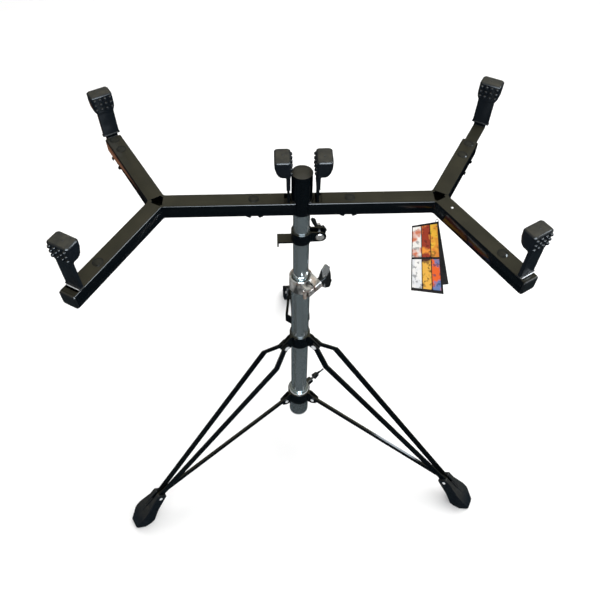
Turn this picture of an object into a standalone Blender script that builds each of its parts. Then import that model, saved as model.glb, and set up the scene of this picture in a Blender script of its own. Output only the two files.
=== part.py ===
"""Double hand-drum stand: a tripod column carrying a cross beam with two three-pad forks.

Metres, +Z up.  +X runs along the cross beam to the right fork, +Y points away from the player.  The
stand is built around its column and then moved so that the origin is the middle of its footprint.
"""
import math

import bmesh
import bpy
from mathutils import Matrix, Vector

# ---------------------------------------------------------------- driving dimensions
GAP = 0.0003                    # air left between pieces that touch

HEAD_TOP = 0.850                # height of the top face of the cross beam
TUBE_W = 0.030                  # box tube of the beam and arms: width
TUBE_H = 0.0275                 # and height
TUBE_WALL = 0.002
TUBE_R = 0.0028                 # outer corner radius
FORK_X = {-1: 0.2433, 1: 0.2341}    # column axis to the centre of the left and the right fork
FORK_GAP = 0.5 * TUBE_W / math.tan(math.radians(60))    # fork centre to the tubes' square ends
ARM_ANGLE = math.radians(60)    # three tubes meet at 120 degrees

SLEEVE_R = 0.0179               # welded sleeve of the cross beam
SLEEVE_BORE = 0.0153
SLEEVE_TOP = 0.9065
CAP_RISE = 0.0036               # crown of the plug in the top of the sleeve
UPPER_R = 0.0150                # sliding upper tube
UPPER_WALL = 0.002
UPPER_Z = (0.330, 0.893)
LOWER_R = 0.01905               # lower tube of the tripod
LOWER_WALL = 0.0016
LOWER_Z = (0.113, 0.643)

LEG_TWIST = math.radians(1.4)   # the tripod stands turned a little against the beam
LEG_AZIMUTH = {"left": 210, "right": 330, "rear": 90}
LEG_PIVOT = (0.039, 0.431)      # radius and height of the leg hinge
LEG_BEND = (0.0776, 0.404)      # where the two bars of a leg are widest apart
LEG_END = (0.410, 0.080)        # rivet that joins bars, brace and shoe
BAR_W = 0.0168                  # flat bars of the legs
BAR_T = 0.0044
BAR_SPREAD = (0.0075, 0.0260, 0.0054)   # half spacing at the hinge, the bend and the shoe
BRACE_PIVOT = (0.041, 0.190)
BRACE_W = 0.0140
BRACE_T = 0.0050
PIN_R = 0.0030
SOLE_R = 0.490                  # how far out the toe of a shoe reaches

COLLAR_Z = (0.420, 0.457)       # fixed upper collar
SLIDER_R = 0.0235               # sliding lower sleeve
SLIDER_Z = (0.1135, 0.2160)
SLIDER_COLLAR_Z = (0.172, 0.212)
SCREW_AZIMUTH = 42              # wing bolt that locks the slider: direction in degrees
SCREW_Z = 0.199
SCREW_HUB = 0.054               # column axis to the hub of the wing bolt
BOSS_END = 0.043               # and to the end of the boss it screws into

CLAMP_Z = (0.614, 0.648)        # height clamp
CLAMP_R = 0.0225
CLAMP_LUG_AZIMUTH = math.radians(-45)
CLAMP_LUG_REACH = 0.030         # column axis to the clamp's T-bolt
CLAMP_LUG_T = 0.036             # across both lugs, which sit a little towards the wing nut
CLAMP_LUG_SHIFT = 0.0018
LOCK_Z = (0.750, 0.774)         # memory lock band on the upper tube
LOCK_R = 0.0186

STRAP_W = 0.022                 # upright straps under the rubber boots
STRAP_T = 0.004
BOOT_TOP = {-1: 0.942, 0: 0.942, 1: 0.9375}      # front, beam and rear uprights
BOOT_ROOF = 0.009               # rubber above the end of the strap
BOOT_W = 0.0395
BOOT_BACK = 0.0226              # strap to the smooth side of the boot's head
NECK_W = 0.030
NECK_T = 0.0066
BOLT_R = 0.0030
BOLT_HEAD_R = 0.0092
BOLT_HEAD_H = 0.0030
BOLT_AT = 0.156                 # clamp bolt to the fork centre on the front arms
BEAM_BOLT_X = 0.0816            # and to the column axis on the beam

# name: fork side, front(-1) / rear(+1) / beam(0), tube end, strap, clamp bolts, travel in and out
PADS = {
    "front_left": (-1, -1, 0.2262, 0.2090, (BOLT_AT,), (0.0, 0.006)),
    "front_right": (1, -1, 0.2168, 0.2055, (BOLT_AT,), (0.0, 0.004)),
    "rear_left": (-1, 1, 0.2000, 0.2055, (0.159, 0.190), (0.002, 0.022)),
    "rear_right": (1, 1, 0.1690, 0.2250, (0.159, 0.123), (0.006, 0.010)),
    "center_left": (-1, 0, 0.0, FORK_X[-1] - 0.0228, (FORK_X[-1] - BEAM_BOLT_X,), (0.004, 0.0)),
    "center_right": (1, 0, 0.0, FORK_X[1] - 0.0265, (FORK_X[1] - BEAM_BOLT_X,), (0.004, 0.001)),
}

# ---------------------------------------------------------------- scene set-up
for old in list(bpy.data.objects):
    bpy.data.objects.remove(old, do_unlink=True)

STAND = bpy.data.collections.new("double_drum_stand")
bpy.context.scene.collection.children.link(STAND)


def material(name, colour, roughness, metallic):
    mat = bpy.data.materials.new(name)
    mat.use_nodes = True
    shader = mat.node_tree.nodes["Principled BSDF"]
    shader.inputs["Base Color"].default_value = (*colour, 1.0)
    shader.inputs["Roughness"].default_value = roughness
    shader.inputs["Metallic"].default_value = metallic
    return mat


FINISHES = {
    "black_paint": ((0.014, 0.015, 0.018), 0.35, 0.0),
    "chrome": ((0.55, 0.57, 0.58), 0.12, 1.0),
    "dark_chrome": ((0.10, 0.11, 0.12), 0.15, 1.0),
    "rubber": ((0.020, 0.022, 0.026), 0.75, 0.0),
    "plastic": ((0.02, 0.02, 0.02), 0.45, 0.0),
    "card": ((0.70, 0.35, 0.10), 0.55, 0.0),
}


# ---------------------------------------------------------------- modelling helpers
def add_object(name, mesh):
    obj = bpy.data.objects.new(name, mesh)
    STAND.objects.link(obj)
    return obj


def from_bmesh(name, bm):
    mesh = bpy.data.meshes.new(name)
    bmesh.ops.recalc_face_normals(bm, faces=bm.faces)
    bm.to_mesh(mesh)
    bm.free()
    return add_object(name, mesh)


def bake(obj, weld=False):
    """Replace the object's data by its evaluated mesh, in world space."""
    depsgraph = bpy.context.evaluated_depsgraph_get()
    depsgraph.update()
    mesh = bpy.data.meshes.new_from_object(obj.evaluated_get(depsgraph))
    mesh.transform(obj.matrix_world)
    name = obj.name
    bpy.data.objects.remove(obj, do_unlink=True)
    if weld:
        bm = bmesh.new()
        bm.from_mesh(mesh)
        bmesh.ops.remove_doubles(bm, verts=bm.verts, dist=1e-6)
        bmesh.ops.recalc_face_normals(bm, faces=bm.faces)
        bm.to_mesh(mesh)
        bm.free()
    return add_object(name, mesh)


def boolean(target, tool, operation):
    """Join or cut target with tool, which is used up."""
    modifier = target.modifiers.new(operation, "BOOLEAN")
    modifier.operation = operation
    modifier.object = tool
    target = bake(target)
    bpy.data.objects.remove(tool, do_unlink=True)
    return target


def cut(target, *tools):
    for tool in tools:
        target = boolean(target, tool, "DIFFERENCE")
    return target


def join(target, *tools):
    for tool in tools:
        target = boolean(target, tool, "UNION")
    return target


def block(name, size, centre, turn=None):
    """A box of the given size; turn is an optional matrix applied after the box is placed."""
    bm = bmesh.new()
    bmesh.ops.create_cube(bm, size=1.0)
    place = Matrix.Translation(centre) @ Matrix.Diagonal((*size, 1.0))
    bmesh.ops.transform(bm, matrix=(turn or Matrix()) @ place, verts=bm.verts)
    return from_bmesh(name, bm)


def rod(name, start, end, radius, sides=24, end_radius=None):
    """A solid cylinder or cone between two points."""
    start = Vector(start)
    run = Vector(end) - start
    bm = bmesh.new()
    bmesh.ops.create_cone(bm, cap_ends=True, segments=sides, radius1=radius,
                          radius2=radius if end_radius is None else end_radius, depth=run.length)
    turn = run.to_track_quat("Z", "X").to_matrix().to_4x4()
    place = Matrix.Translation(start + run / 2) @ turn
    bmesh.ops.transform(bm, matrix=place, verts=bm.verts)
    return from_bmesh(name, bm)


def turned(name, profile, sides=48, closed=False, place=None):
    """A profile of (radius, height) points turned about Z; it runs down its outer side."""
    mesh = bpy.data.meshes.new(name)
    edges = [(i, i + 1) for i in range(len(profile) - 1)]
    if closed:
        edges.append((len(profile) - 1, 0))
    mesh.from_pydata([(r, 0.0, z) for r, z in profile], edges, [])
    obj = add_object(name, mesh)
    screw = obj.modifiers.new("turn", "SCREW")
    screw.steps = screw.render_steps = sides
    screw.use_merge_vertices = True
    screw.merge_threshold = 1e-6
    obj.matrix_world = place or Matrix()
    return bake(obj, weld=True)


def pipe(name, outer, inner, z_range, sides=48):
    low, high = z_range
    return turned(name, [(outer, high), (outer, low), (inner, low), (inner, high)], sides, True)


def plate(name, outline, thickness, place=None):
    """A flat outline in the local XY plane, extruded by half the thickness each way along Z."""
    curve = bpy.data.curves.new(name, "CURVE")
    curve.dimensions = "2D"
    curve.fill_mode = "BOTH"
    curve.extrude = thickness / 2
    spline = curve.splines.new("POLY")
    spline.points.add(len(outline) - 1)
    for point, (x, y) in zip(spline.points, outline):
        point.co = (x, y, 0.0, 1.0)
    spline.use_cyclic_u = True
    obj = add_object(name, curve)
    obj.matrix_world = place or Matrix()
    return bake(obj, weld=True)


def arc(centre, radius, start, end, steps=6):
    """Points of an arc; the angles are in degrees."""
    points = []
    for i in range(steps + 1):
        angle = math.radians(start + (end - start) * i / steps)
        points.append((centre[0] + radius * math.cos(angle), centre[1] + radius * math.sin(angle)))
    return points


def rounded_rectangle(width, height, radius, steps=3):
    x, y = width / 2 - radius, height / 2 - radius
    return (arc((x, y), radius, 0, 90, steps) + arc((-x, y), radius, 90, 180, steps)
            + arc((-x, -y), radius, 180, 270, steps) + arc((x, -y), radius, 270, 360, steps))


def slot_outline(start, end, half_width, steps=6):
    """A slot along local X with round ends."""
    return (arc((end, 0), half_width, -90, 90, steps) + arc((start, 0), half_width, 90, 270, steps))


def sweep(name, section, stations):
    """Extrude a section through stations of (origin, across, up) vectors."""
    rings = [[origin + across * u + up * v for u, v in section] for origin, across, up in stations]
    bm = bmesh.new()
    face = bm.faces.new([bm.verts.new(point) for point in rings[0]])
    caps = [face]
    for before, after in zip(rings, rings[1:]):
        result = bmesh.ops.extrude_face_region(bm, geom=[face], use_keep_orig=True)
        inner = face
        face = next(item for item in result["geom"] if isinstance(item, bmesh.types.BMFace))
        for loop in face.loops:
            nearest = min(range(len(before)), key=lambda i: (before[i] - loop.vert.co).length)
            loop.vert.co = after[nearest]
        if inner is not caps[0]:
            bm.faces.remove(inner)
    return from_bmesh(name, bm)


def side_view(azimuth):
    """Maps local (along, up, across) of a flat outline onto a vertical plane at an azimuth."""
    along = Vector((math.cos(azimuth), math.sin(azimuth), 0))
    across = Vector((math.sin(azimuth), -math.cos(azimuth), 0))
    up = Vector((0, 0, 1))
    return Matrix((along, up, across)).transposed().to_4x4()


def finish(obj, finish_name, origin=(0, 0, 0), smooth=35):
    """Give a piece its finish, its shading and the origin it turns about."""
    obj.data.materials.clear()
    colour, roughness, metallic = FINISHES[finish_name]
    obj.data.materials.append(material(obj.name + "_finish", colour, roughness, metallic))
    obj.data.transform(Matrix.Translation(-Vector(origin)))
    obj.location = origin
    obj.data.shade_smooth()
    obj.data.set_sharp_from_angle(angle=math.radians(smooth))
    return obj


# ---------------------------------------------------------------- shared pieces
def wing_nut(name, base, axis, span, height, bore, hub, roll=0.0, sides=24):
    """A wing nut whose hub stands on base and whose wings open along axis."""
    axis = Vector(axis).normalized()
    turn = axis.to_track_quat("Z", "X").to_matrix().to_4x4() @ Matrix.Rotation(roll, 4, "Z")
    place = Matrix.Translation(base) @ turn
    nut = rod(name, (0, 0, 0), (0, 0, height * 0.45), hub, sides, hub * 0.78)
    half = span / 2
    wing = ([(bore * 1.4, height * 0.04), (hub, height * 0.04), (half * 0.80, height * 0.38)]
            + arc((half * 0.80, height * 0.70), half * 0.20, -60, 90, 5)
            + arc((half * 0.62, height * 0.80), height * 0.20, 90, 180, 3)
            + [(hub * 0.85, height * 0.42), (bore * 1.4, height * 0.42)])
    for side in (0.0, math.pi):
        stand_up = Matrix.Rotation(side, 4, "Z") @ Matrix.Rotation(math.pi / 2, 4, "X")
        nut = join(nut, plate(name + "_wing", wing, hub * 0.42, stand_up))
    nut = cut(nut, rod(name + "_bore", (0, 0, -height), (0, 0, 2 * height), bore, sides))
    nut.data.transform(place)
    return nut


def domed_head(radius, height, steps=4):
    """Profile of a shallow domed bolt head, top centre first, ending at its rim."""
    ball = (radius * radius + height * height) / (2 * height)
    top = math.asin(radius / ball)
    return [(ball * math.sin(top * i / steps), height - ball + ball * math.cos(top * i / steps))
            for i in range(steps + 1)]


def bolt(name, head_at, axis, length, radius, head_radius, head_height, sides=24):
    """A domed bolt: the underside of its head is at head_at and its shank runs along -axis."""
    dome = domed_head(head_radius, head_height)
    profile = dome + [(radius, 0.0), (radius, -length), (0.0, -length)]
    turn = Vector(axis).to_track_quat("Z", "X").to_matrix().to_4x4()
    return turned(name, profile, sides, place=Matrix.Translation(head_at) @ turn)


# ---------------------------------------------------------------- tripod
def leg_point(azimuth, radius, across, height):
    c, s = math.cos(azimuth), math.sin(azimuth)
    return Vector((radius * c - across * s, radius * s + across * c, height))


def build_lower_tube():
    finish(pipe("lower_tube", LOWER_R, LOWER_R - LOWER_WALL, LOWER_Z), "chrome")
    rim = [(SLIDER_R, LOWER_Z[0] - GAP), (SLIDER_R, LOWER_Z[0] - 0.004),
           (0.010, LOWER_Z[0] - 0.004), (0.010, LOWER_Z[0] - GAP)]
    finish(turned("tube_stop", rim, closed=True), "chrome")
    ring = [(LOWER_R - LOWER_WALL - GAP, LOWER_Z[1] - GAP),
            (LOWER_R - LOWER_WALL - GAP, LOWER_Z[1] - 0.032),
            (UPPER_R + GAP, LOWER_Z[1] - 0.032), (UPPER_R + GAP, LOWER_Z[1] - GAP)]
    finish(turned("guide_bush", ring, closed=True), "plastic")


def build_collar(name, z_range, body_r, bore, pivot, flange, slot, pin_hole):
    """A collar with three forked ears; flange and slot are half widths across each ear."""
    low, high = z_range
    radius, height = pivot
    collar = rod(name, (0, 0, low), (0, 0, high), body_r, 48)
    ear = [(0.010, low), (radius - 0.002, low), (radius + 0.010, height - 0.010),
           (radius + 0.011, height + 0.006), (body_r + 0.005, high), (0.010, high)]
    for degrees in LEG_AZIMUTH.values():
        azimuth = math.radians(degrees) + LEG_TWIST
        collar = join(collar, plate(name + "_ear", ear, 2 * flange, side_view(azimuth)))
    for degrees in LEG_AZIMUTH.values():
        azimuth = math.radians(degrees) + LEG_TWIST
        turn = Matrix.Rotation(azimuth, 4, "Z")
        middle = ((body_r + 0.003 + radius + 0.02) / 2, 0, (low + high) / 2)
        size = (radius + 0.017 - body_r, 2 * slot, high - low + 0.02)
        collar = cut(collar, block(name + "_slot", size, middle, turn))
        if pin_hole:
            collar = cut(collar, rod(name + "_hole", leg_point(azimuth, radius, -0.02, height),
                                     leg_point(azimuth, radius, 0.02, height), pin_hole))
    return cut(collar, rod(name + "_bore", (0, 0, low - 0.01), (0, 0, high + 0.01), bore, 48))


def build_pivot_pin(side, azimuth):
    """Rivet through the collar ear and both bars of one leg."""
    reach = BAR_SPREAD[0] + BAR_T / 2 + GAP
    dome = domed_head(0.0062, 0.0028)
    upper = [(r, z + reach) for r, z in dome]
    lower = [(r, -z - reach) for r, z in reversed(dome)]
    profile = upper + [(PIN_R, reach), (PIN_R, -reach)] + lower
    centre = leg_point(azimuth, LEG_PIVOT[0], 0, LEG_PIVOT[1])
    place = Matrix.Translation(centre) @ Matrix.Rotation(azimuth, 4, "Z") @ Matrix.Rotation(
        math.pi / 2, 4, "X")
    finish(turned(f"leg_{side}_pivot_pin", profile, 24, place=place), "chrome")


def leg_direction():
    run = Vector((LEG_END[0] - LEG_BEND[0], LEG_END[1] - LEG_BEND[1]))
    return run.normalized()


def leg_bar(name, azimuth, side):
    """One flat bar: out from the hinge, a bend, then straight in to the shoe."""
    down = leg_direction()
    near, wide, foot = BAR_SPREAD
    ear = Vector((LEG_BEND[0] - LEG_PIVOT[0], LEG_BEND[1] - LEG_PIVOT[1])).normalized()
    start = Vector(LEG_PIVOT) - ear * 0.009
    flat_end = Vector(LEG_PIVOT) + ear * 0.008
    shoe_in = Vector(LEG_END) - down * 0.012
    tip = Vector(LEG_END) + down * 0.027
    bend = (ear + down).normalized()
    path = [(start, near, ear, 1.0), (flat_end, near, ear, 1.0),
            (Vector(LEG_BEND), wide, bend, 1.0 / bend.dot(down)),
            (shoe_in, foot, down, 1.0), (tip, foot, down, 1.0)]
    across = leg_point(azimuth, 0, 1, 0)
    stations = []
    for point, spread, run, stretch in path:
        normal = Vector((-run.y, run.x)) * stretch
        stations.append((leg_point(azimuth, point.x, side * spread, point.y), across,
                         leg_point(azimuth, normal.x, 0, normal.y)))
    section = rounded_rectangle(BAR_T, BAR_W, 0.0007, 1)
    bar = sweep(name, section, stations)
    hole = rod(name + "_hole", leg_point(azimuth, LEG_PIVOT[0], side * 0.002, LEG_PIVOT[1]),
               leg_point(azimuth, LEG_PIVOT[0], side * 0.020, LEG_PIVOT[1]), PIN_R + GAP)
    return cut(bar, hole)


def leg_shoe(name, azimuth):
    """Rubber shoe: a narrow collar over the bars that widens to a six-sided foot with a flat sole."""
    down = leg_direction()
    normal = Vector((-down.y, down.x))
    if normal.y < 0:
        normal = -normal
    end = Vector(LEG_END)

    def at(along, off):
        point = end + down * along + normal * off
        return (point.x, point.y)

    outline = ([at(-0.010, -0.0118), (0.4400, 0.006), (0.4430, 0.0)]
               + [(SOLE_R - 0.003, 0.0)] + arc((SOLE_R - 0.006, 0.006), 0.006, -45, 20, 3)
               + [at(0.064, 0.0135), at(-0.010, 0.0128)])
    shoe = plate(name, outline, 0.060, side_view(0.0))
    half_plan = [(end.x - 0.030, 0.0132), (end.x + 0.016, 0.0138), (end.x + 0.044, 0.0218),
                 (SOLE_R - 0.020, 0.0222), (SOLE_R + 0.001, 0.0130)]
    plan = half_plan + [(x, -y) for x, y in reversed(half_plan)]
    shoe = boolean(shoe, plate("plan", plan, 0.200, Matrix.Translation((0, 0, end.y))), "INTERSECT")
    slope = Matrix.Rotation(math.atan2(-down.y, down.x), 4, "Y")
    frame = Matrix.Translation((end.x, 0, end.y)) @ slope
    pocket_half = BAR_SPREAD[2] + BAR_T / 2 + GAP
    pocket = block(name + "_pocket", (0.042, 2 * pocket_half, BAR_W + 2 * GAP), (0.0065, 0, 0), frame)
    brace_slot = block(name + "_slot", (0.060, BRACE_T + 0.0008, 0.060), (0.009, 0, 0.006), frame)
    shoe = cut(shoe, pocket, brace_slot)
    shoe.data.transform(Matrix.Rotation(azimuth, 4, "Z"))
    return shoe


def build_leg(side, azimuth):
    origin = leg_point(azimuth, LEG_PIVOT[0], 0, LEG_PIVOT[1])
    finish(leg_bar(f"leg_{side}_bar_1", azimuth, 1), "black_paint", origin)
    finish(leg_bar(f"leg_{side}_bar_2", azimuth, -1), "black_paint", origin)
    finish(leg_shoe(f"leg_{side}_shoe", azimuth), "rubber", origin)


def build_brace(side, azimuth):
    """Flat brace from the slider ear to the shoe rivet; its outer eye floats between the bars."""
    name = f"brace_{side}"
    run = Vector(LEG_END) - Vector(BRACE_PIVOT)
    outline = slot_outline(0, run.length, BRACE_W / 2)
    place = (Matrix.Translation(leg_point(azimuth, BRACE_PIVOT[0], 0, BRACE_PIVOT[1]))
             @ side_view(azimuth) @ Matrix.Rotation(math.atan2(run.y, run.x), 4, "Z"))
    brace = plate(name, outline, BRACE_T, place)
    for radius, height in (BRACE_PIVOT, LEG_END):
        brace = cut(brace, rod(name + "_eye", leg_point(azimuth, radius, -0.01, height),
                               leg_point(azimuth, radius, 0.01, height), PIN_R + GAP))
    finish(brace, "black_paint", leg_point(azimuth, BRACE_PIVOT[0], 0, BRACE_PIVOT[1]))


def build_slider():
    """Sleeve that slides on the lower tube, its three-eared collar and its wing bolt."""
    finish(pipe("slider_sleeve", SLIDER_R, LOWER_R + GAP, SLIDER_Z), "chrome")

    slot = BRACE_T / 2 + GAP
    flange = slot + 0.003
    collar = build_collar("slider_collar", SLIDER_COLLAR_Z, SLIDER_R + 0.0034, SLIDER_R + GAP,
                          BRACE_PIVOT, flange, slot, 0)
    pin_reach = flange + 0.0022
    for degrees in LEG_AZIMUTH.values():
        azimuth = math.radians(degrees) + LEG_TWIST
        pin = rod("pin", leg_point(azimuth, BRACE_PIVOT[0], -pin_reach, BRACE_PIVOT[1]),
                  leg_point(azimuth, BRACE_PIVOT[0], pin_reach, BRACE_PIVOT[1]), PIN_R, 20)
        collar = join(collar, pin)
    screw_azimuth = math.radians(SCREW_AZIMUTH) + LEG_TWIST
    outward = Vector((math.cos(screw_azimuth), math.sin(screw_azimuth), 0))
    centre = Vector((0, 0, SCREW_Z))
    boss = rod("boss", centre + outward * (SLIDER_R - 0.004), centre + outward * BOSS_END, 0.0085, 24)
    bore = rod("bore", (0, 0, SLIDER_Z[0]), (0, 0, SLIDER_Z[1] + 0.03), SLIDER_R + GAP, 48)
    thread = rod("thread", centre + outward * 0.010, centre + outward * (BOSS_END + 0.010), 0.0035)
    finish(cut(join(collar, boss), bore, thread), "black_paint")

    hub_at = centre + outward * SCREW_HUB
    wing = wing_nut("slider_wing_bolt", hub_at, outward, 0.050, 0.028, 0.0012, 0.0078,
                    math.radians(25))
    shank = rod("shank", centre + outward * (SLIDER_R + 2 * GAP), hub_at + outward * 0.010, 0.0031)
    finish(join(wing, shank), "dark_chrome", hub_at)


def build_height_clamp():
    """Split ring on top of the lower tube with two lugs, a T-bolt and a wing nut."""
    low, high = CLAMP_Z
    middle = (low + high) / 2
    lug_dir = Vector((math.cos(CLAMP_LUG_AZIMUTH), math.sin(CLAMP_LUG_AZIMUTH), 0))
    bolt_dir = Vector((-lug_dir.y, lug_dir.x, 0))
    turn = Matrix.Rotation(CLAMP_LUG_AZIMUTH, 4, "Z")
    clamp = rod("height_clamp", (0, 0, low), (0, 0, high), CLAMP_R, 48)
    lug = arc((CLAMP_LUG_REACH, 0), 0.010, -90, 90, 8) + [(0.010, 0.016), (0.010, -0.016)]
    stand_up = (turn @ Matrix.Translation((0, CLAMP_LUG_SHIFT, middle))
                @ Matrix.Rotation(math.pi / 2, 4, "X"))
    clamp = join(clamp, plate("lugs", lug, CLAMP_LUG_T, stand_up))
    clamp = cut(clamp, block("split", (0.060, 0.0034, 0.06), (0.045, 0, middle), turn),
                rod("bore", (0, 0, low - 0.01), (0, 0, high + 0.01), LOWER_R + GAP, 48))
    axis_at = lug_dir * CLAMP_LUG_REACH + Vector((0, 0, middle))
    hole = rod("hole", axis_at - bolt_dir * 0.03, axis_at + bolt_dir * 0.03, 0.0043)
    finish(cut(clamp, hole), "chrome")

    near = axis_at - bolt_dir * (CLAMP_LUG_T / 2 - CLAMP_LUG_SHIFT + GAP)
    far = axis_at + bolt_dir * 0.037
    t_bolt = rod("clamp_bolt", near, far, 0.0040)
    bar_at = near - bolt_dir * 0.0035
    bar = rod("head", bar_at - Vector((0, 0, 0.011)), bar_at + Vector((0, 0, 0.011)), 0.0038)
    finish(join(t_bolt, bar), "chrome")

    base = axis_at + bolt_dir * (CLAMP_LUG_T / 2 + CLAMP_LUG_SHIFT + 2 * GAP)
    nut = wing_nut("clamp_wing_nut", base, bolt_dir, 0.058, 0.034, 0.0043, 0.0095, math.radians(-12))
    finish(nut, "dark_chrome", base)


# ---------------------------------------------------------------- mast
def build_mast():
    finish(pipe("upper_tube", UPPER_R, UPPER_R - UPPER_WALL, UPPER_Z), "chrome")

    low, high = LOCK_Z
    middle = (low + high) / 2
    band = rod("memory_lock_band", (0, 0, low), (0, 0, high), LOCK_R, 48)
    ears = ([(0.0, -(high - low) / 2)] + arc((0.034, 0), (high - low) / 2 - 0.001, -90, 90, 8)
            + [(0.0, (high - low) / 2)])
    stand_up = Matrix.Translation((0, -0.0005, middle)) @ Matrix.Rotation(math.pi / 2, 4, "X")
    tab = block("tab", (0.032, 0.022, 0.003), (-0.028, 0, low + 0.0015))
    hook = block("hook", (0.0030, 0.022, 0.012), (-0.0425, 0, low - 0.003))
    band = join(band, plate("ears", ears, 0.0160, stand_up), tab, hook)
    band = cut(band, block("split", (0.040, 0.0100, 0.05), (0.032, -0.0005, middle)),
               rod("bore", (0, 0, low - 0.01), (0, 0, high + 0.01), UPPER_R + GAP, 48))
    axis_at = Vector((0.033, 0, middle))
    hole = rod("hole", axis_at - Vector((0, 0.02, 0)), axis_at + Vector((0, 0.02, 0)), 0.0036)
    finish(cut(band, hole), "black_paint")

    front = axis_at + Vector((0, -0.0085 - GAP, 0))
    finish(bolt("memory_lock_bolt", front, (0, -1, 0), 0.034, 0.0032, 0.0085, 0.0042), "chrome")
    base = axis_at + Vector((0, 0.0075 + GAP, 0))
    nut = wing_nut("memory_lock_wing_nut", base, (0, 1, 0), 0.042, 0.022, 0.0036, 0.0070,
                   math.radians(-43))
    finish(nut, "dark_chrome", base)


# ---------------------------------------------------------------- head
def fork_frame(side, row):
    """Matrix whose X axis runs out from the fork centre along one of its three tubes."""
    azimuth = {-1: -ARM_ANGLE, 1: ARM_ANGLE, 0: math.pi}[row]
    if side < 0:
        azimuth = math.pi - azimuth
    return Matrix.Translation((side * FORK_X[side], 0, HEAD_TOP)) @ Matrix.Rotation(azimuth, 4, "Z")


def box_tube(name, start, end, frame):
    """Hollow square tube along the frame's X axis, its top face at local Z = 0."""
    stand = frame @ Matrix.Translation((0, 0, -TUBE_H / 2))
    facing = Matrix(((0, 0, 1, 0), (1, 0, 0, 0), (0, 1, 0, 0), (0, 0, 0, 1)))
    middle = (start + end) / 2
    outer = rounded_rectangle(TUBE_W, TUBE_H, TUBE_R)
    inner = rounded_rectangle(TUBE_W - 2 * TUBE_WALL, TUBE_H - 2 * TUBE_WALL, 0.001, 1)
    place = stand @ Matrix.Translation((middle, 0, 0)) @ facing
    tube = plate(name, outer, end - start, place)
    return cut(tube, plate(name + "_hollow", inner, end - start + 0.01, place))


def drill_tube(tube, frame, bolts):
    for at in bolts:
        top = frame @ Vector((at, 0, 0.01))
        bottom = frame @ Vector((at, 0, -TUBE_H - 0.01))
        tube = cut(tube, rod("bolt_hole", top, bottom, BOLT_R + GAP, 16))
    return tube


def strap_slot(tube, frame, strap, travel):
    """Opening in the top wall that the upright strap stands in."""
    start = strap - travel[0] - STRAP_T / 2 - 0.0012
    end = strap + travel[1] + STRAP_T / 2 + 0.0012
    size = (end - start, STRAP_W + 0.0016, 0.010)
    return cut(tube, block("strap_slot", size, ((start + end) / 2, 0, -0.002), frame))


def build_beam():
    """Left and right beam tubes welded to one upright sleeve."""
    frame = Matrix.Translation((0, 0, HEAD_TOP))
    beam = box_tube("cross_beam", FORK_GAP - FORK_X[-1], FORK_X[1] - FORK_GAP, frame)
    sleeve_bottom = HEAD_TOP - TUBE_H - 0.0006
    beam = join(beam, rod("sleeve", (0, 0, sleeve_bottom), (0, 0, SLEEVE_TOP), SLEEVE_R, 48))
    beam = cut(beam, rod("bore", (0, 0, sleeve_bottom - 0.01), (0, 0, SLEEVE_TOP + 0.01),
                         SLEEVE_BORE, 48))
    for pad in ("center_left", "center_right"):
        side, row, _, strap, bolts, travel = PADS[pad]
        beam = drill_tube(beam, fork_frame(side, row), bolts)
        beam = strap_slot(beam, fork_frame(side, row), strap, travel)
    finish(beam, "black_paint")
    plug = [(SLEEVE_BORE - GAP, SLEEVE_TOP - 0.006), (0.0, SLEEVE_TOP - 0.006)]
    rim = SLEEVE_R - 0.0002
    crown = [(r, SLEEVE_TOP + GAP + z) for r, z in domed_head(rim, CAP_RISE, 6)]
    finish(turned("sleeve_cap", crown + [(SLEEVE_BORE - GAP, SLEEVE_TOP + GAP)] + plug), "plastic")


def build_arm(pad):
    side, row, end, strap, bolts, travel = PADS[pad]
    frame = fork_frame(side, row)
    name = f"arm_{pad}"
    arm = box_tube(name, FORK_GAP + GAP, end, frame)
    arm = drill_tube(arm, frame, bolts)
    if row < 0:
        arm = strap_slot(arm, frame, strap, travel)
    finish(arm, "black_paint", frame.translation)


def build_bracket(pad):
    """L-shaped strap: it slides in the tube, stands up at its outer end and is slotted for bolts."""
    side, row, _, strap, bolts, travel = PADS[pad]
    frame = fork_frame(side, row)
    name = f"bracket_{pad}"
    top = -TUBE_WALL - 0.0005
    bottom = top - STRAP_T
    outer, inner = strap + STRAP_T / 2, strap - STRAP_T / 2
    tail = min(bolts) - travel[1] - 0.022
    height = BOOT_TOP[row] - BOOT_ROOF - HEAD_TOP
    outline = ([(tail, bottom)] + arc((outer - 0.0055, bottom + 0.0055), 0.0055, -90, 0, 4)
               + [(outer, height), (inner, height)]
               + arc((inner - 0.0015, top + 0.0015), 0.0015, 0, -90, 2) + [(tail, top)])
    flat = frame @ Matrix.Rotation(math.pi / 2, 4, "X")
    bracket = plate(name, outline, STRAP_W, flat)
    start = min(bolts) - travel[1] - BOLT_R - 0.0010
    end = max(bolts) + travel[0] + BOLT_R + 0.0010
    half = BOLT_R + 0.0006
    slot = plate("slot", slot_outline(start + half, end - half, half), 0.02,
                 frame @ Matrix.Translation((0, 0, top)))
    finish(cut(bracket, slot), "black_paint", frame @ Vector((strap, 0, 0)))


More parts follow.
